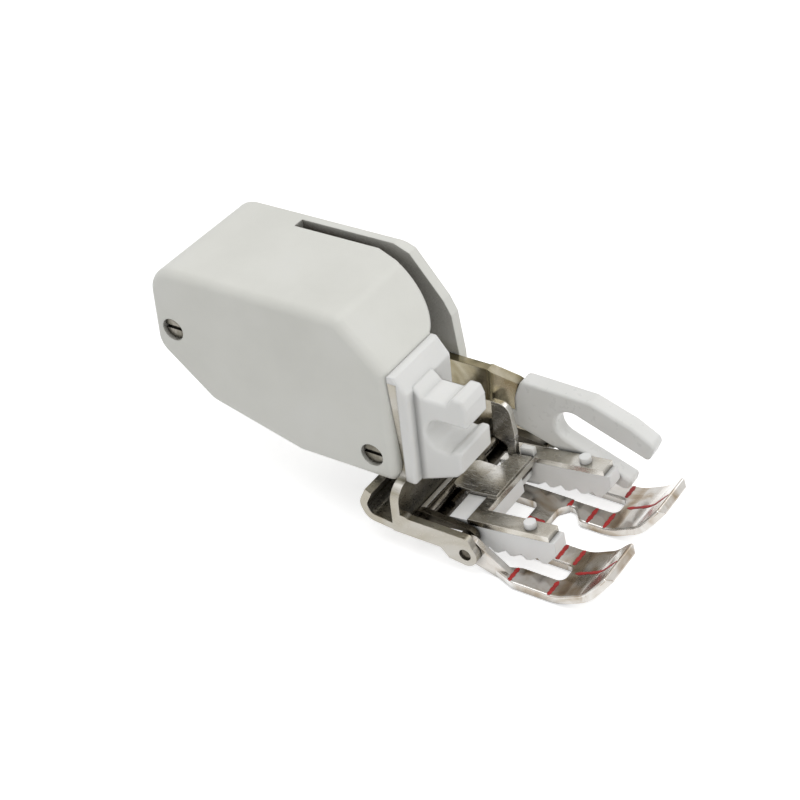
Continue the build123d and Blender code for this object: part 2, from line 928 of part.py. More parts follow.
# lift crank on the lever, with an open slot for the rocker's roller
with BuildPart() as lift_crank:
    with BuildSketch(Plane.YZ.offset(crank_near_x)):
        with Locations(Location((lever_y, lever_z), crank_angle)):
            Circle(crank_hub_r)
            with Locations((crank_reach / 2, 0)):
                Rectangle(crank_reach, crank_arm_w)
            with Locations((crank_slot_bottom + crank_reach / 2, 0)):
                Rectangle(crank_reach, 2 * (roller_r + crank_play), mode=Mode.SUBTRACT)
            Circle(lever_shaft_r + run_fit, mode=Mode.SUBTRACT)
            with Locations((0, crank_rivet_out), (0, -crank_rivet_out)):
                Circle(crank_rivet_r, mode=Mode.SUBTRACT)
    extrude(amount=crank_t)
    spacer_x = crank_near_x + crank_t
    with BuildSketch(Plane.YZ.offset(spacer_x)):
        with Locations(Location((lever_y, lever_z), crank_angle)):
            Circle(crank_hub_r)
            Circle(lever_shaft_r + run_fit, mode=Mode.SUBTRACT)
            with Locations((0, crank_rivet_out), (0, -crank_rivet_out)):
                Circle(crank_rivet_r, mode=Mode.SUBTRACT)
    extrude(amount=lever_x - lever_t / 2 - spacer_x)
save(lift_crank, "lift_crank")

with BuildPart() as crank_rivets:
    for side in (-1, 1):
        rivet_y = lever_y + side * crank_rivet_out * cos(radians(crank_angle + 90))
        rivet_z = lever_z + side * crank_rivet_out * sin(radians(crank_angle + 90))
        rod(crank_near_x, lever_x + lever_t / 2, rivet_y, rivet_z, crank_rivet_r)
save(crank_rivets, "crank_rivets")

# rocker: two side arms on the shaft, a web between them and a tail into the cover
pitch_cos = cos(radians(deck_pitch))
pitch_sin = sin(radians(deck_pitch))
pin_y = deck_y + cross_pin_run * pitch_cos + cross_pin_low * pitch_sin
pin_z = deck_z - cross_pin_run * pitch_sin + cross_pin_low * pitch_cos
pin_mid_y = pin_y + slide_travel / 2 * pitch_cos
pin_mid_z = pin_z - slide_travel / 2 * pitch_sin

with BuildSketch() as arm_outline:
    with Locations((rocker_y, rocker_z), (arm_end_y, arm_end_z)):
        Circle(arm_r)
    make_hull()
    with Locations((rocker_y, rocker_z)):
        Circle(rocker_shaft_r + run_fit, mode=Mode.SUBTRACT)
    with Locations((pin_mid_y, pin_mid_z)):
        SlotCenterToCenter(
            slide_travel,
            2 * (cross_pin_r + run_fit),
            rotation=-deck_pitch,
            mode=Mode.SUBTRACT,
        )

with BuildPart() as lift_rocker:
    with BuildSketch(Plane.YZ.offset(arm_near_x)):
        add(arm_outline.sketch_local)
    extrude(amount=arm_t)
    with BuildSketch(Plane.YZ.offset(-arm_near_x - arm_t)):
        add(arm_outline.sketch_local)
    extrude(amount=arm_t)
    block(
        -arm_near_x - arm_t,
        arm_near_x + arm_t,
        web_front_y,
        web_rear_y,
        web_base_z,
        web_base_z + web_t,
    )
    block(-lip_half, lip_half, web_front_y, web_front_y + lip_t, web_base_z, lip_top_z)
    with BuildSketch(Plane.YZ.offset(tail_x)):
        with BuildLine():
            Line((rocker_y, rocker_z), (roller_y, roller_z))
        trace(line_width=tail_w)
        with Locations((rocker_y, rocker_z)):
            Circle(tail_hub_r)
        with Locations((roller_y, roller_z)):
            Circle(roller_eye_r)
            Circle(roller_pin_r, mode=Mode.SUBTRACT)
        with Locations((rocker_y, rocker_z)):
            Circle(rocker_shaft_r + run_fit, mode=Mode.SUBTRACT)
    extrude(amount=tail_t)
save(lift_rocker, "lift_rocker")

with BuildPart() as roller_pin:
    rod(tail_x, crank_near_x + crank_t, roller_y, roller_z, roller_pin_r)
save(roller_pin, "roller_pin")

with BuildPart() as follower_roller:
    rod(crank_near_x, crank_near_x + crank_t - roller_gap, roller_y, roller_z, roller_r)
    rod(
        crank_near_x - past,
        crank_near_x + crank_t + past,
        roller_y,
        roller_z,
        roller_pin_r,
        mode=Mode.SUBTRACT,
    )
save(follower_roller, "follower_roller")

# carriage frame: u runs back along the deck, v stands square to it
deck_plane = Plane(
    origin=(0, deck_y, deck_z), x_dir=(1, 0, 0), z_dir=(0, pitch_sin, pitch_cos)
)
under_plane = deck_plane.offset(-deck_t)
side_plane = Plane(
    origin=(0, deck_y, deck_z), x_dir=(0, pitch_cos, -pitch_sin), z_dir=(1, 0, 0)
)

with BuildPart() as feed_carriage:
    with BuildSketch(under_plane):
        with BuildLine():
            Polyline(
                (foot_in_x, arm_front),
                (foot_out_x, arm_front),
                (foot_out_x, deck_rear),
                (wall_out_x - wall_t, deck_rear),
                (wall_out_x - wall_t, deck_back),
                (deck_near_x, deck_back),
                (deck_near_x, deck_bar),
                (-foot_out_x, deck_bar),
                (-foot_out_x, arm_front),
                (-foot_in_x, arm_front),
                (-foot_in_x, 0),
                (foot_in_x, 0),
                close=True,
            )
        make_face()
        with Locations((arm_mid_x, stud_run), (-arm_mid_x, stud_run)):
            Circle(stud_r, mode=Mode.SUBTRACT)
        with BuildLine():
            Polyline(
                (tab_near_x, tab_front),
                (tab_near_x + tab_t, tab_front),
                (tab_near_x + tab_t, tab_rear),
                (tab_near_x, tab_rear),
                close=True,
            )
        make_face(mode=Mode.SUBTRACT)
        # notch that clears the rocker's tail as the carriage slides back
        with BuildLine():
            Polyline(
                (tail_x - notch_room, notch_front),
                (tail_x + tail_t + notch_room, notch_front),
                (tail_x + tail_t + notch_room, deck_back),
                (tail_x - notch_room, deck_back),
                close=True,
            )
        make_face(mode=Mode.SUBTRACT)
    extrude(amount=deck_t)
    # wall turned up beside the presser bar
    with BuildSketch(Plane.YZ.offset(wall_out_x - wall_t)):
        with BuildLine():
            FilletPolyline(
                (wall_front_y, wall_foot_z),
                (wall_front_y, wall_front_z),
                (wall_crest_y, wall_top_z),
                (wall_rear_y, wall_top_z),
                (wall_rear_y, wall_step_z),
                (wall_root_y, wall_step_z - past),
                (wall_root_y, wall_foot_z),
                radius=[0, wall_top_r / 2, wall_top_r, 0, 0, 0, 0],
                close=True,
            )
        make_face()
    extrude(amount=wall_t)
save(feed_carriage, "feed_carriage")

# toothed runners, cross block and studs in one moulding
with BuildPart() as feed_shoes:
    for side_x in (-foot_out_x, foot_in_x):
        with BuildSketch(side_plane.offset(side_x)):
            with BuildLine():
                outline = [(shoe_rear, -deck_t), (shoe_front, -deck_t)]
                outline.append((shoe_front, -deck_t - shoe_high / 2))
                outline.append((shoe_front + shoe_nose_r, -deck_t - shoe_high))
                for tooth in range(tooth_count):
                    tooth_u = tooth_first + tooth * tooth_pitch
                    outline.append((tooth_u + tooth_pitch / 4, -deck_t - shoe_high))
                    outline.append((tooth_u + tooth_pitch / 2, -deck_t - shoe_high + tooth_deep))
                    outline.append((tooth_u + tooth_pitch, -deck_t - shoe_high))
                outline.append((shoe_rear, -deck_t - shoe_high))
                Polyline(*outline, close=True)
            make_face()
        extrude(amount=foot_out_x - foot_in_x)
    with BuildSketch(side_plane.offset(-foot_in_x)):
        with BuildLine():
            Polyline(
                (0, -deck_t),
                (0, -deck_t - block_low),
                (block_deep, -deck_t - block_low),
                (block_deep, -deck_t),
                close=True,
            )
        make_face()
    extrude(amount=foot_in_x + block_far_x)
    with BuildSketch(side_plane.offset(block_far_x)):
        with BuildLine():
            Polyline(
                (block_deep / 3, -deck_t),
                (block_deep / 3, -deck_t - block_low),
                (block_deep, -deck_t - block_low),
                (block_deep, -deck_t),
                close=True,
            )
        make_face()
    extrude(amount=foot_in_x - block_far_x)
    # shelf beside the deck, behind the near arm
    with BuildSketch(deck_plane.offset(-shelf_sunk)):
        with BuildLine():
            Polyline(
                (-foot_out_x, deck_bar + shelf_gap),
                (deck_near_x - shelf_gap, deck_bar + shelf_gap),
                (deck_near_x - shelf_gap, shelf_rear),
                (-foot_out_x, shelf_rear),
                close=True,
            )
        make_face()
    extrude(amount=-shelf_t)
    with BuildSketch(under_plane):
        with Locations((arm_mid_x, stud_run), (-arm_mid_x, stud_run)):
            Circle(stud_r)
    extrude(amount=deck_t + stud_high)
    with BuildSketch(under_plane):
        with BuildLine():
            Polyline(
                (tab_near_x, tab_front),
                (tab_near_x + tab_t, tab_front),
                (tab_near_x + tab_t, tab_rear),
                (tab_near_x, tab_rear),
                close=True,
            )
        make_face()
    extrude(amount=deck_t + tab_high)
    rod(-arm_near_x, arm_near_x, pin_y, pin_z, cross_pin_r, mode=Mode.SUBTRACT)
save(feed_shoes, "feed_shoes")

with BuildPart() as carriage_pin:
    rod(-arm_near_x - arm_t, arm_near_x + arm_t, pin_y, pin_z, cross_pin_r)
save(carriage_pin, "carriage_pin")

# two small push springs between the cross block and the rocker's lip
push_y = deck_y + block_deep * pitch_cos + push_low * pitch_sin
push_z = deck_z - block_deep * pitch_sin + push_low * pitch_cos
push_room = (web_front_y - push_y) / pitch_cos - push_wire
push_start_y = push_y + push_wire / 2 * pitch_cos
push_start_z = push_z - push_wire / 2 * pitch_sin
with BuildPart() as carriage_springs:
    for push_side in (-push_x, push_x):
        with BuildLine():
            push_coil = Helix(
                pitch=push_room / push_turns,
                height=push_room,
                radius=push_coil_r,
                center=(push_side, push_start_y, push_start_z),
                direction=(0, pitch_cos, -pitch_sin),
            )
        with BuildSketch(Plane(origin=push_coil @ 0, z_dir=push_coil % 0)):
            RegularPolygon(push_wire / 2, wire_sides)
        sweep(path=push_coil)
save(carriage_springs, "carriage_springs")

# one toe, with x counted from its inner side; polishing leaves rails and tip rounded over
with BuildPart() as toe:
    with BuildSketch(Plane.YZ.offset(-past)):
        with BuildLine():
            FilletPolyline(
                (toe_rear_y, sole_t / 2),
                (toe_bend_y, sole_t / 2),
                (toe_lift_y, toe_lift_z),
                (toe_tip_y, toe_tip_z),
                radius=[toe_bend_r, toe_lift_r],
            )
        trace(line_width=sole_t)
    extrude(amount=toe_w + 2 * past)
    with BuildSketch(Plane.XY):
        with BuildLine():
            FilletPolyline(
                (0, toe_tip_y - toe_nose),
                (toe_w, toe_tip_y - toe_nose),
                (toe_w, toe_neck_y),
                (toe_w - lug_inset, toe_rear_y),
                (toe_w - lug_inset - lug_t, toe_rear_y),
                (toe_w - toe_rail_w, toe_neck_y),
                (toe_w - toe_rail_w, toe_slot_front_y),
                (toe_spread + needle_rail_w, toe_slot_front_y),
                (toe_spread + needle_rail_w, toe_rear_y),
                (toe_spread, toe_rear_y),
                (toe_spread, needle_step_y),
                (0, needle_front_y),
                radius=[
                    toe_corner_r,
                    toe_corner_r,
                    toe_neck_r,
                    0,
                    0,
                    toe_neck_r,
                    needle_r,
                    needle_r,
                    0,
                    0,
                    needle_r,
                    needle_r,
                ],
                close=True,
            )
        make_face()
    extrude(amount=cover_top_z, mode=Mode.INTERSECT)
    walls = toe.faces().filter_by(lambda wall: abs(wall.normal_at().Z) < level)
    walls = walls.filter_by(lambda wall: abs(wall.center().Y - toe_rear_y) > level)
    rims = walls.edges().filter_by(lambda rim: abs(rim.tangent_at(0.5).Z) < upright)
    ends = toe.edges().filter_by(Axis.X)
    ends = ends.filter_by(lambda end: end.center().Z > toe_lift_z + sole_t)
    fillet(rims + ends, rail_soft_r)

# sole: two slotted toes turned up at the tips, bridge, rear tie and pivot lugs
with BuildPart() as sole:
    add(toe.part.moved(Location((toe_in_x, 0, 0))))
    with BuildSketch(Plane.XY):
        with BuildLine():
            FilletPolyline(
                (0, needle_rear_y),
                (rail_in_x, needle_rear_y),
                (needle_half, needle_step_y + needle_r),
                (toe_slot_in_x, needle_step_y + needle_r),
                (toe_slot_in_x, tie_rear_y),
                (0, tie_rear_y),
                (0, tie_front_y),
                (rail_in_x, tie_front_y),
                (rail_in_x, bridge_rear_y),
                (0, bridge_rear_y),
                radius=[0, needle_r, 0, 0, needle_r, 0, 0, needle_r, needle_r, 0],
                close=True,
            )
        make_face()
    extrude(amount=sole_t)
    # outer rail climbs into the pivot lug
    with BuildSketch(Plane.YZ.offset(lug_in_x)):
        with Locations((sole_y, sole_z)):
            Circle(lug_r)
        with Locations((lug_foot_y, sole_t / 2), (lug_foot_front_y, sole_t / 2)):
            Circle(lug_foot_r)
        make_hull()
        with Locations((sole_y, sole_z)):
            Circle(sole_pin_r + run_fit, mode=Mode.SUBTRACT)
    extrude(amount=lug_t)
    mirror(about=Plane.YZ)
save(sole, "sole")
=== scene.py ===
import json
import math

import bmesh
import bpy
from mathutils import Matrix, Vector
from mathutils.bvhtree import BVHTree


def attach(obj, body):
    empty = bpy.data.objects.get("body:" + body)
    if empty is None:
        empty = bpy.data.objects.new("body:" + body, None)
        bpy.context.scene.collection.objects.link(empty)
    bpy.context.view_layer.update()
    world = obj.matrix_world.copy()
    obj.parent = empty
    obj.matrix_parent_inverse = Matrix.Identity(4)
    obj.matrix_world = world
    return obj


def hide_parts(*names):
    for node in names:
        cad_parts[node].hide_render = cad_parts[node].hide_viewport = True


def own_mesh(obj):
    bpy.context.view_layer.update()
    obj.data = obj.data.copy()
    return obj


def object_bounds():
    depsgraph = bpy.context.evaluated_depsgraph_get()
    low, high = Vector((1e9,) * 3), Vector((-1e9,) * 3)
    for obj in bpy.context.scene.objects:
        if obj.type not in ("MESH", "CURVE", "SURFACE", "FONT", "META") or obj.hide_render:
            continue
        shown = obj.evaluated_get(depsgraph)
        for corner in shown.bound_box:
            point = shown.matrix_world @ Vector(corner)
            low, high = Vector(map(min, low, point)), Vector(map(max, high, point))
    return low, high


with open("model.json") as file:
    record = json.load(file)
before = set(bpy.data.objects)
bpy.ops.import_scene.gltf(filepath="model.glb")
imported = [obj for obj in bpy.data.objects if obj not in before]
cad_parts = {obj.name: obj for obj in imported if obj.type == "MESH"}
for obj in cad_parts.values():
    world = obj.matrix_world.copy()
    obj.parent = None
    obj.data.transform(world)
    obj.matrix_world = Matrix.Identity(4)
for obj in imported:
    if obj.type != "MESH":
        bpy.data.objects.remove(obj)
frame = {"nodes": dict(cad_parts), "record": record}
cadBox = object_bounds()
footNodes = frame["nodes"]
mm = 0.001
print("foot loaded with", len(footNodes), "pieces")


# what all the finishes share: how far noise spreads, and the rays spent on corners and edges
finishCare = {"noiseLow": 0.3, "noiseHigh": 0.7, "cornerRays": 4, "edgeRays": 4}


# shared steps for the finishes, every texture is laid out in metres on the piece itself
def startFinish(name):
    finish = bpy.data.materials.new(name)
    finish.use_nodes = True
    tree = finish.node_tree
    shader = tree.nodes["Principled BSDF"]
    spot = tree.nodes.new("ShaderNodeTexCoord")
    return finish, tree, shader, spot


def stretch(tree, coords, scale):
    mapping = tree.nodes.new("ShaderNodeMapping")
    mapping.inputs["Scale"].default_value = scale
    tree.links.new(coords, mapping.inputs["Vector"])
    return mapping.outputs["Vector"]


def addNoise(tree, coords, scale, detail=4.0, rough=0.55, warp=0.0):
    noise = tree.nodes.new("ShaderNodeTexNoise")
    noise.inputs["Scale"].default_value = scale
    noise.inputs["Detail"].default_value = detail
    noise.inputs["Roughness"].default_value = rough
    noise.inputs["Distortion"].default_value = warp
    tree.links.new(coords, noise.inputs["Vector"])
    return noise.outputs["Fac"]


def addRamp(tree, value, stops):
    ramp = tree.nodes.new("ShaderNodeValToRGB")
    marks = ramp.color_ramp.elements
    while len(marks) < len(stops):
        marks.new(0.5)
    for mark, (place, colour) in zip(marks, stops):
        mark.position = place
        mark.color = (*colour, 1.0)
    tree.links.new(value, ramp.inputs["Fac"])
    return ramp.outputs["Color"]


def addSpan(tree, value, low, high):
    span = tree.nodes.new("ShaderNodeMapRange")
    span.inputs["From Min"].default_value = finishCare["noiseLow"]
    span.inputs["From Max"].default_value = finishCare["noiseHigh"]
    span.inputs["To Min"].default_value = low
    span.inputs["To Max"].default_value = high
    tree.links.new(value, span.inputs["Value"])
    return span.outputs["Result"]


def blendValues(tree, first, second, share):
    mix = tree.nodes.new("ShaderNodeMix")
    mix.data_type = "FLOAT"
    mix.inputs["Factor"].default_value = share
    tree.links.new(first, mix.inputs["A"])
    tree.links.new(second, mix.inputs["B"])
    return mix.outputs["Result"]


# painted shade: the tone darkens in deep corners, where little open space lies around the spot
def paintCornerShade(tree, tone, reach):
    cornerShade = tree.nodes.new("ShaderNodeAmbientOcclusion")
    cornerShade.samples = finishCare["cornerRays"]
    cornerShade.inputs["Distance"].default_value = reach
    tree.links.new(tone, cornerShade.inputs["Color"])
    return cornerShade


# painted shade: inside the cover the white turns dark brown where little open air lies above the spot,
# standing in for the shade of the deep slot
def paintHollowShade(tree, cornerShade, cloud, tone, look):
    cornerShade.only_local = True
    share = tree.nodes.new("ShaderNodeMapRange")
    share.inputs["From Min"].default_value = look["hollowShadeFull"]
    share.inputs["From Max"].default_value = look["hollowShadeGone"]
    tree.links.new(cornerShade.outputs["AO"], share.inputs["Value"])
    mix = tree.nodes.new("ShaderNodeMix")
    mix.data_type = "RGBA"
    firstColour, secondColour, mixedColour = mix.inputs[6], mix.inputs[7], mix.outputs[2]
    tree.links.new(share.outputs["Result"], mix.inputs["Factor"])
    tree.links.new(addRamp(tree, cloud, look["hollowShade"]), firstColour)
    tree.links.new(tone, secondColour)
    return mixedColour


# edges are eased a little, as tumbling and plating leave them
def addBump(tree, shader, height, depth, strength, ease):
    edge = tree.nodes.new("ShaderNodeBevel")
    edge.samples = finishCare["edgeRays"]
    edge.inputs["Radius"].default_value = ease
    bump = tree.nodes.new("ShaderNodeBump")
    tree.links.new(edge.outputs["Normal"], bump.inputs["Normal"])
    bump.inputs["Strength"].default_value = strength
    bump.inputs["Distance"].default_value = depth
    tree.links.new(height, bump.inputs["Height"])
    tree.links.new(bump.outputs["Normal"], shader.inputs["Normal"])


# white mouldings: a slow change of tone, a fine grain and a little light passing into them
whitePlastic = {"cloudDetail": 6.0, "grainDetail": 2.0, "soakRadius": (1.0, 0.95, 0.88), "bend": 1.5}
coverPlastic = {
    "tones": ((0.30, (0.72, 0.72, 0.67)), (0.55, (0.77, 0.77, 0.72)), (0.75, (0.79, 0.79, 0.75))),
    "cloud": 70, "rough": (0.42, 0.52), "grain": 9000, "grainDepth": 0.012 * mm, "grainLook": 0.25,
    "soak": 0.05, "soakDepth": 0.4 * mm, "ease": 0.25 * mm, "cornerShade": 25.0 * mm,
    # the dark brown tones on the next line are painted shade for the hollow inside the cover
    "hollowShade": ((0.30, (0.035, 0.026, 0.016)), (0.70, (0.075, 0.06, 0.042))),
    "hollowShadeFull": 0.25, "hollowShadeGone": 0.65,  # shares of open air above the spot
}
headPlastic = {
    "tones": ((0.30, (0.80, 0.80, 0.78)), (0.55, (0.84, 0.84, 0.82)), (0.75, (0.86, 0.86, 0.84))),
    "cloud": 90, "rough": (0.20, 0.26), "grain": 900, "grainDepth": 0.006 * mm, "grainLook": 0.12,
    "soak": 0.20, "soakDepth": 0.7 * mm, "ease": 0.30 * mm, "cornerShade": 1.0 * mm,
}
milkyNylon = {
    "tones": ((0.30, (0.78, 0.78, 0.75)), (0.55, (0.82, 0.82, 0.80)), (0.75, (0.85, 0.85, 0.83))),
    "cloud": 110, "rough": (0.26, 0.34), "grain": 900, "grainDepth": 0.006 * mm, "grainLook": 0.12,
    "soak": 0.15, "soakDepth": 0.5 * mm, "ease": 0.30 * mm, "cornerShade": 0.6 * mm,
}
shoeNylon = {
    "tones": ((0.30, (0.88, 0.88, 0.86)), (0.55, (0.91, 0.91, 0.90)), (0.75, (0.93, 0.93, 0.92))),
    "cloud": 200, "rough": (0.34, 0.44), "grain": 2600, "grainDepth": 0.008 * mm, "grainLook": 0.15,
    "soak": 0.25, "soakDepth": 0.7 * mm, "ease": 0.15 * mm, "cornerShade": 0.8 * mm,
}
driveNylon = {
    "tones": ((0.30, (0.70, 0.70, 0.66)), (0.55, (0.75, 0.75, 0.71)), (0.75, (0.78, 0.78, 0.75))),
    "cloud": 180, "rough": (0.36, 0.46), "grain": 2600, "grainDepth": 0.008 * mm, "grainLook": 0.15,
    "soak": 0.20, "soakDepth": 0.7 * mm, "ease": 0.15 * mm, "cornerShade": 2.0 * mm,
}


def mouldedFinish(name, look):
    finish, tree, shader, spot = startFinish(name)
    coords = spot.outputs["Object"]
    cloud = addNoise(tree, coords, look["cloud"], detail=whitePlastic["cloudDetail"])
    grain = addNoise(tree, coords, look["grain"], detail=whitePlastic["grainDetail"])
    tone = addRamp(tree, cloud, look["tones"])
    # painted shade: the tone is darkened in deep corners
    cornerShade = paintCornerShade(tree, tone, look["cornerShade"])
    colour = cornerShade.outputs["Color"]
    # painted shade: dark brown inside the cover's hollow
    if "hollowShade" in look:
        colour = paintHollowShade(tree, cornerShade, cloud, tone, look)
    tree.links.new(colour, shader.inputs["Base Color"])
    tree.links.new(addSpan(tree, grain, *look["rough"]), shader.inputs["Roughness"])
    addBump(tree, shader, grain, look["grainDepth"], look["grainLook"], look["ease"])
    shader.inputs["Subsurface Weight"].default_value = look["soak"]
    shader.inputs["Subsurface Radius"].default_value = whitePlastic["soakRadius"]
    shader.inputs["Subsurface Scale"].default_value = look["soakDepth"]
    shader.inputs["IOR"].default_value = whitePlastic["bend"]
    return finish


# plated sheet: bright nickel with painted reflection, warm dark bands that change where the sheet bends
# because they follow which way each face points, mixed with random patches, with fine rubbing marks
plating = {
    "reflectionDetail": 1.5, "reflectionWarp": 0.4, "patchDetail": 3.0, "patchWarp": 0.8,
    "rubDetail": 3.0, "rubRough": 0.6, "rubLook": 0.12, "ease": 0.12 * mm, "cornerShade": 1.1 * mm,
}
nickelSheet = {
    "tones": ((0.30, (0.24, 0.20, 0.135)), (0.42, (0.38, 0.35, 0.28)), (0.53, (0.49, 0.47, 0.43)),
              (0.68, (0.65, 0.64, 0.62))),
    "reflectionBands": 1.5, "patches": 130, "share": 0.42, "rough": (0.24, 0.40), "rub": (5200, 700, 5200),
    "rubDepth": 0.006 * mm,
}
nickelSole = {
    "tones": ((0.30, (0.15, 0.085, 0.04)), (0.40, (0.38, 0.31, 0.23)), (0.48, (0.60, 0.57, 0.53)),
              (0.66, (0.78, 0.78, 0.77))),
    "reflectionBands": 1.7, "patches": 210, "share": 0.50, "rough": (0.10, 0.24), "rub": (5200, 900, 5200),
    "rubDepth": 0.006 * mm,
}
nickelLever = {
    "tones": ((0.30, (0.10, 0.085, 0.045)), (0.44, (0.29, 0.25, 0.155)), (0.56, (0.52, 0.48, 0.38)),
              (0.72, (0.78, 0.76, 0.70))),
    "reflectionBands": 1.5, "patches": 160, "share": 0.55, "rough": (0.13, 0.27), "rub": (5200, 800, 5200),
    "rubDepth": 0.006 * mm,
}
nickelDeck = {
    "tones": ((0.30, (0.22, 0.185, 0.13)), (0.43, (0.52, 0.49, 0.43)), (0.53, (0.76, 0.74, 0.70)),
              (0.70, (0.86, 0.85, 0.83))),
    "reflectionBands": 1.4, "patches": 140, "share": 0.55, "rough": (0.16, 0.30), "rub": (5200, 700, 5200),
    "rubDepth": 0.006 * mm,
}
darkSheet = {
    "tones": ((0.30, (0.035, 0.03, 0.022)), (0.46, (0.09, 0.078, 0.058)), (0.60, (0.17, 0.155, 0.125)),
              (0.74, (0.30, 0.29, 0.27))),
    "reflectionBands": 1.4, "patches": 150, "share": 0.50, "rough": (0.22, 0.38), "rub": (4200, 700, 4200),
    "rubDepth": 0.008 * mm,
}
# screw heads: tones kept dark as painted shade of the round recesses they sit in
shadedScrewSteel = {
    "tones": ((0.30, (0.07, 0.06, 0.045)), (0.46, (0.20, 0.185, 0.15)), (0.60, (0.36, 0.34, 0.30)),
              (0.74, (0.55, 0.54, 0.51))),
    "reflectionBands": 1.3, "patches": 500, "share": 0.50, "rough": (0.22, 0.40), "rub": (700, 6500, 6500),
    "rubDepth": 0.010 * mm,
}
pinSteel = {
    "tones": ((0.30, (0.05, 0.042, 0.03)), (0.46, (0.14, 0.125, 0.10)), (0.60, (0.26, 0.24, 0.21)),
              (0.74, (0.44, 0.43, 0.41))),
    "reflectionBands": 1.5, "patches": 420, "share": 0.45, "rough": (0.18, 0.32), "rub": (6500, 700, 700),
    "rubDepth": 0.004 * mm,
}
springSteel = {
    "tones": ((0.30, (0.10, 0.09, 0.075)), (0.46, (0.24, 0.23, 0.21)), (0.60, (0.40, 0.39, 0.37)),
              (0.74, (0.56, 0.55, 0.53))),
    "reflectionBands": 1.6, "patches": 600, "share": 0.45, "rough": (0.20, 0.34), "rub": (3000, 3000, 3000),
    "rubDepth": 0.005 * mm,
}


def platedFinish(name, look):
    finish, tree, shader, spot = startFinish(name)
    coords = spot.outputs["Object"]
    # painted reflection: tone bands set by the facing direction of each face
    reflectionBands = addNoise(tree, spot.outputs["Normal"], look["reflectionBands"],
                     detail=plating["reflectionDetail"], warp=plating["reflectionWarp"])
    patches = addNoise(tree, coords, look["patches"],
                       detail=plating["patchDetail"], warp=plating["patchWarp"])
    tone = addRamp(tree, blendValues(tree, reflectionBands, patches, look["share"]), look["tones"])
    rub = addNoise(tree, stretch(tree, coords, look["rub"]), 1.0,
                   detail=plating["rubDetail"], rough=plating["rubRough"])
    # painted shade: the tone is darkened in deep corners
    cornerShade = paintCornerShade(tree, tone, plating["cornerShade"])
    tree.links.new(cornerShade.outputs["Color"], shader.inputs["Base Color"])
    tree.links.new(addSpan(tree, rub, *look["rough"]), shader.inputs["Roughness"])
    addBump(tree, shader, rub, look["rubDepth"], plating["rubLook"], plating["ease"])
    shader.inputs["Metallic"].default_value = 1.0
    return finish


mouldings = {
    "cover_plastic": coverPlastic, "head_plastic": headPlastic, "natural_nylon": milkyNylon,
    "shoe_nylon": shoeNylon, "drive_nylon": driveNylon,
}
platedMetals = {
    "nickel_sheet": nickelSheet, "nickel_sole": nickelSole, "nickel_lever": nickelLever,
    "nickel_deck": nickelDeck, "dark_sheet": darkSheet, "screw_steel": shadedScrewSteel,
    "pin_steel": pinSteel, "spring_steel": springSteel,
}
finishes = {name: mouldedFinish(name, look) for name, look in mouldings.items()}
finishes.update({name: platedFinish(name, look) for name, look in platedMetals.items()})
for row in frame["record"]["subparts"]:
    footNodes[row["node"]].material_slots[0].material = finishes[row["material_slot"]]
print("finishes on:", len(finishes))


def placePiece(name, shape, finish):
    mesh = bpy.data.meshes.new(name)
    shape.to_mesh(mesh)
    shape.free()
    piece = bpy.data.objects.new(name, mesh)
    bpy.context.scene.collection.objects.link(piece)
    mesh.materials.append(finish)
    return piece


# thin plate that lies on the carriage's deck and reaches back to the rocker's shaft
deckPlate = {
    "near": -3.15, "far": 5.30, "waist": 2.35, "front": 3.45, "step": 5.9, "turn": 0.6, "rear": 9.8,
    "corner": 0.8, "thick": 0.30, "deckY": 3.25, "deckZ": 5.70, "pitch": 7.5, "levelFrom": 6.8,
    "rows": 60, "columns": 12,
}


def deckHeight(along):
    fall = min(along, deckPlate["levelFrom"]) - deckPlate["deckY"]
    return deckPlate["deckZ"] - fall * math.tan(math.radians(deckPlate["pitch"]))


def layDeckPlate():
    plate = bmesh.new()
    rows = []
    for step in range(deckPlate["rows"] + 1):
        along = deckPlate["front"] + (deckPlate["rear"] - deckPlate["front"]) * step / deckPlate["rows"]
        turned = min(1.0, max(0.0, (along - deckPlate["step"]) / deckPlate["turn"]))
        far = deckPlate["far"] + (deckPlate["waist"] - deckPlate["far"]) * math.sin(turned * math.pi / 2)
        past = max(0.0, along - deckPlate["rear"] + deckPlate["corner"])
        trim = deckPlate["corner"] - math.sqrt(max(0.0, deckPlate["corner"] ** 2 - past ** 2))
        left, right = deckPlate["near"] + trim, far - trim
        row = []
        for column in range(deckPlate["columns"] + 1):
            across = left + (right - left) * column / deckPlate["columns"]
            row.append(plate.verts.new(Vector((across, along, deckHeight(along))) * mm))
        rows.append(row)
    for low, high in zip(rows, rows[1:]):
        for column in range(deckPlate["columns"]):
            plate.faces.new((low[column], low[column + 1], high[column + 1], high[column]))
    piece = placePiece("deck_plate", plate, finishes["nickel_deck"])
    body = piece.modifiers.new("body", "SOLIDIFY")
    body.thickness = deckPlate["thick"] * mm
    body.offset = 1.0
    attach(piece, "carriage")


layDeckPlate()
print("deck plate laid")

# push springs behind the cross block, wound from round wire
pushSpring = {
    "sides": (-2.4, 2.4), "startY": 5.4806, "startZ": 3.4901, "length": 3.3985, "pitch": 7.5, "travel": 2.2,
    "coil": 0.80, "wire": 0.22, "turns": 4, "steps": 36, "around": 10,
}


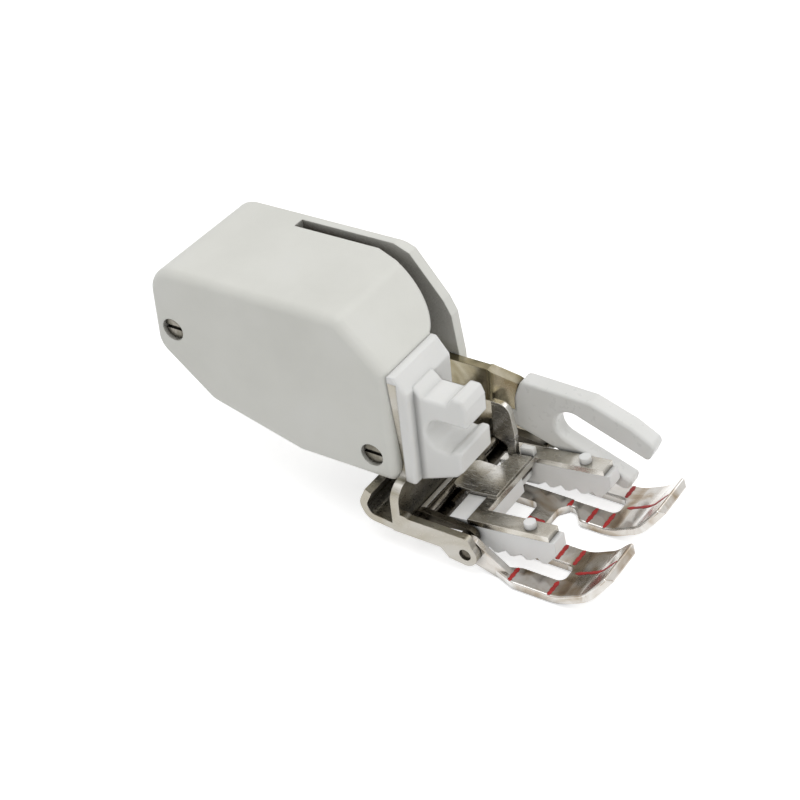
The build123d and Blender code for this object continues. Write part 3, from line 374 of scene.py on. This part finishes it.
def windSprings():
    lean = math.radians(pushSpring["pitch"])
    axis = Vector((0.0, math.cos(lean), -math.sin(lean)))
    across = Vector((1.0, 0.0, 0.0))
    upright = axis.cross(across)
    half = pushSpring["wire"] / 2
    rise = pushSpring["length"] - pushSpring["wire"]
    slope = rise / (2 * math.pi * pushSpring["turns"])
    steps = pushSpring["steps"] * pushSpring["turns"]
    spins = [2 * math.pi * mark / pushSpring["around"] for mark in range(pushSpring["around"])]
    wire = bmesh.new()
    for side in pushSpring["sides"]:
        start = Vector((side, pushSpring["startY"], pushSpring["startZ"])) + axis * half
        rings = []
        for step in range(steps + 1):
            turn = 2 * math.pi * step / pushSpring["steps"]
            out = across * math.cos(turn) + upright * math.sin(turn)
            sweep = upright * math.cos(turn) - across * math.sin(turn)
            run = (sweep * pushSpring["coil"] + axis * slope).normalized()
            middle = start + axis * rise * step / steps + out * pushSpring["coil"]
            lift = run.cross(out)
            rings.append([
                wire.verts.new((middle + half * (out * math.cos(spin) + lift * math.sin(spin))) * mm)
                for spin in spins
            ])
        for low, high in zip(rings, rings[1:]):
            for mark in range(pushSpring["around"]):
                after = (mark + 1) % pushSpring["around"]
                wire.faces.new((low[mark], low[after], high[after], high[mark])).smooth = True
        wire.faces.new(rings[0])
        wire.faces.new(rings[-1])
    bmesh.ops.recalc_face_normals(wire, faces=wire.faces)
    piece = placePiece("push_springs", wire, finishes["spring_steel"])
    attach(piece, "rocker")
    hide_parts("carriage_springs")
    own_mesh(piece)


windSprings()
print("push springs wound")

# red guide marks, brushed on the sole by hand; every stroke lies on the plated face below it
guideMarks = {
    "red": ((0.30, (0.27, 0.009, 0.008)), (0.55, (0.42, 0.015, 0.014)), (0.75, (0.52, 0.030, 0.028))),
    "brush": 1500, "brushDetail": 3.0, "rough": (0.38, 0.6), "brushDepth": 0.02 * mm, "brushLook": 0.4,
    "ease": 0.02 * mm,
    "thick": 0.04, "lift": 0.012, "width": 0.50, "steps": 26, "across": 6, "above": 30.0, "drop": 0.5,
    "ragged": 0.16, "wave": 17.0, "ripple": 41.0, "rippleShare": 0.6, "endWidth": 0.45, "endGrowth": 6,
    "outerEdge": 11.0, "outerInner": 8.5, "innerEdge": 2.3, "innerOuter": 5.2,
    "outerRows": (-2.4, -7.7), "innerRows": (-2.2, -5.6, -7.9),
    "tipLine": 6.6, "tipStart": -8.9, "tipEnd": -14.4, "bridgeStart": 1.3, "bridgeEnd": -1.1,
}


def paintFinish():
    finish, tree, shader, spot = startFinish("guide_red")
    coords = spot.outputs["Object"]
    brush = addNoise(tree, coords, guideMarks["brush"], detail=guideMarks["brushDetail"])
    tree.links.new(addRamp(tree, brush, guideMarks["red"]), shader.inputs["Base Color"])
    tree.links.new(addSpan(tree, brush, *guideMarks["rough"]), shader.inputs["Roughness"])
    addBump(tree, shader, brush, guideMarks["brushDepth"], guideMarks["brushLook"], guideMarks["ease"])
    return finish


def soleSkin():
    graph = bpy.context.evaluated_depsgraph_get()
    return BVHTree.FromObject(footNodes["sole"].evaluated_get(graph), graph)


def brushStroke(name, skin, start, end, paint):
    run = Vector((*end, 0.0)) - Vector((*start, 0.0))
    side = Vector((-run.y, run.x, 0.0)).normalized()
    stroke = bmesh.new()
    rows = []
    for step in range(guideMarks["steps"] + 1):
        along = step / guideMarks["steps"]
        swing = math.sin(along * guideMarks["wave"] + start[0])
        swing += guideMarks["rippleShare"] * math.sin(along * guideMarks["ripple"] + start[1])
        nearEnd = min(along, 1 - along)
        full = min(1.0, guideMarks["endWidth"] + guideMarks["endGrowth"] * nearEnd)
        half = guideMarks["width"] / 2 * (1 + guideMarks["ragged"] * swing) * full
        middle = Vector((*start, 0.0)) + run * along
        row = []
        for slot in range(guideMarks["across"] + 1):
            over = middle + side * half * (2 * slot / guideMarks["across"] - 1)
            above = Vector((over.x, over.y, guideMarks["above"])) * mm
            hit, normal = skin.ray_cast(above, Vector((0, 0, -1)))[:2]
            row.append(stroke.verts.new(hit + normal * guideMarks["lift"] * mm) if hit else None)
        rows.append(row)
    for low, high in zip(rows, rows[1:]):
        for slot in range(guideMarks["across"]):
            ring = (low[slot], low[slot + 1], high[slot + 1], high[slot])
            if all(ring):
                heights = [corner.co.z for corner in ring]
                if max(heights) - min(heights) < guideMarks["drop"] * mm:  # a stroke stops at a drop
                    stroke.faces.new(ring)
    loose = [corner for corner in stroke.verts if not corner.link_faces]
    bmesh.ops.delete(stroke, geom=loose, context="VERTS")
    bmesh.ops.recalc_face_normals(stroke, faces=stroke.faces)
    if sum(face.normal.z for face in stroke.faces) < 0:
        bmesh.ops.reverse_faces(stroke, faces=stroke.faces)
    for face in stroke.faces:
        face.smooth = True
    piece = placePiece(name, stroke, paint)
    coat = piece.modifiers.new("coat", "SOLIDIFY")
    coat.thickness = guideMarks["thick"] * mm
    coat.offset = 0.0
    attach(piece, "sole")


skin = soleSkin()
paint = paintFinish()
for hand, sign in (("near", -1), ("far", 1)):
    for number, row in enumerate(guideMarks["outerRows"]):
        brushStroke(f"mark_{hand}_outer_{number}", skin, (sign * guideMarks["outerInner"], row),
                    (sign * guideMarks["outerEdge"], row), paint)
    for number, row in enumerate(guideMarks["innerRows"]):
        brushStroke(f"mark_{hand}_inner_{number}", skin, (sign * guideMarks["innerEdge"], row),
                    (sign * guideMarks["innerOuter"], row), paint)
    brushStroke(f"mark_{hand}_tip", skin, (sign * guideMarks["tipLine"], guideMarks["tipStart"]),
                (sign * guideMarks["tipLine"], guideMarks["tipEnd"]), paint)
brushStroke("mark_bridge", skin, (0.0, guideMarks["bridgeStart"]), (0.0, guideMarks["bridgeEnd"]), paint)
print("guide marks painted")

# pale floor and white surround; the floor still takes the soft shadow
studio = {
    "floorHalf": 3.0, "floorDrop": 0.05, "floorTone": 0.80, "floorGlow": 0.60, "ambient": 0.47,
    "fibre": 40, "fibreDetail": 3.0, "fibreTone": 0.01,
}


def seenDirectly(tree):
    path = tree.nodes.new("ShaderNodeLightPath")
    eitherTwo = tree.nodes.new("ShaderNodeMath")
    eitherTwo.operation = "MAXIMUM"
    anyThree = tree.nodes.new("ShaderNodeMath")
    anyThree.operation = "MAXIMUM"
    tree.links.new(path.outputs["Is Camera Ray"], eitherTwo.inputs[0])
    tree.links.new(path.outputs["Is Glossy Ray"], eitherTwo.inputs[1])
    tree.links.new(eitherTwo.outputs[0], anyThree.inputs[0])
    tree.links.new(path.outputs["Is Transmission Ray"], anyThree.inputs[1])
    return anyThree.outputs[0]


def layFloor():
    half = studio["floorHalf"]
    level = cadBox[0].z - studio["floorDrop"] * mm
    sheet = bmesh.new()
    signs = ((-1, -1), (1, -1), (1, 1), (-1, 1))
    sheet.faces.new([sheet.verts.new((x * half, y * half, level)) for x, y in signs])
    paper = bpy.data.materials.new("studio_paper")
    paper.use_nodes = True
    tree = paper.node_tree
    tree.nodes.clear()
    spot = tree.nodes.new("ShaderNodeTexCoord")
    matt = tree.nodes.new("ShaderNodeBsdfDiffuse")
    dull, pale = (studio["floorTone"],) * 3, (studio["floorTone"] + studio["fibreTone"],) * 3
    fibre = addNoise(tree, spot.outputs["Object"], studio["fibre"], detail=studio["fibreDetail"])
    stops = ((finishCare["noiseLow"], dull), (finishCare["noiseHigh"], pale))
    tree.links.new(addRamp(tree, fibre, stops), matt.inputs["Color"])
    glow = tree.nodes.new("ShaderNodeEmission")
    glow.inputs["Strength"].default_value = studio["floorGlow"]
    lit = tree.nodes.new("ShaderNodeAddShader")
    pick = tree.nodes.new("ShaderNodeMixShader")
    out = tree.nodes.new("ShaderNodeOutputMaterial")
    tree.links.new(matt.outputs[0], lit.inputs[0])
    tree.links.new(glow.outputs[0], lit.inputs[1])
    tree.links.new(seenDirectly(tree), pick.inputs[0])
    tree.links.new(matt.outputs[0], pick.inputs[1])
    tree.links.new(lit.outputs[0], pick.inputs[2])
    tree.links.new(pick.outputs[0], out.inputs["Surface"])
    floor = placePiece("studio_floor", sheet, paper)


def surround():
    world = bpy.data.worlds.new("studio_surround")
    bpy.context.scene.world = world
    world.use_nodes = True
    tree = world.node_tree
    tree.nodes.clear()
    air = tree.nodes.new("ShaderNodeBackground")
    air.inputs["Color"].default_value = (1, 1, 1, 1)
    air.inputs["Strength"].default_value = studio["ambient"]
    white = tree.nodes.new("ShaderNodeBackground")
    white.inputs["Color"].default_value = (1, 1, 1, 1)
    white.inputs["Strength"].default_value = 1.0
    pick = tree.nodes.new("ShaderNodeMixShader")
    out = tree.nodes.new("ShaderNodeOutputWorld")
    tree.links.new(seenDirectly(tree), pick.inputs[0])
    tree.links.new(air.outputs[0], pick.inputs[1])
    tree.links.new(white.outputs[0], pick.inputs[2])
    tree.links.new(pick.outputs[0], out.inputs["Surface"])


# softboxes: place and aim in millimetres on the foot's own axes
softboxes = {
    "top_box": {"at": (-40, 30, 420), "aim": (0, 15, 10), "side": 320, "watts": 0.53},
    "front_box": {"at": (-160, -320, 260), "aim": (0, 5, 8), "side": 260, "watts": 0.25},
    "right_box": {"at": (330, -60, 200), "aim": (0, 10, 10), "side": 220, "watts": 0.25},
}


def hangBoxes():
    for name, plan in softboxes.items():
        lamp = bpy.data.lights.new(name, "AREA")
        lamp.size = plan["side"] * mm
        lamp.energy = plan["watts"]
        holder = bpy.data.objects.new(name, lamp)
        bpy.context.scene.collection.objects.link(holder)
        at, aim = Vector(plan["at"]) * mm, Vector(plan["aim"]) * mm
        holder.location = at
        holder.rotation_euler = (aim - at).to_track_quat("-Z", "Y").to_euler()


# the photograph's own view: where the lens stood, in millimetres, and how far it leaned
photoView = {
    "eye": (-142.996, -88.721, 144.667), "aim": (5.257, 22.506, 8.470), "lean": -6.649,
    "lens": 81.45, "film": 36.0, "clipNear": 10, "clipFar": 20000,
}


def setCamera():
    lens = bpy.data.cameras.new("photo_view")
    lens.lens = photoView["lens"]
    lens.sensor_width = photoView["film"]
    lens.clip_start = photoView["clipNear"] * mm
    lens.clip_end = photoView["clipFar"] * mm
    holder = bpy.data.objects.new("photo_view", lens)
    bpy.context.scene.collection.objects.link(holder)
    eye, aim = Vector(photoView["eye"]) * mm, Vector(photoView["aim"]) * mm
    turn = (aim - eye).to_track_quat("-Z", "Y").to_matrix().to_4x4()
    lean = Matrix.Rotation(math.radians(photoView["lean"]), 4, "Z")
    holder.matrix_world = Matrix.Translation(eye) @ turn @ lean
    bpy.context.scene.camera = holder


layFloor()
surround()
hangBoxes()
setCamera()
bpy.context.scene.view_settings.view_transform = "Standard"
print("studio ready")
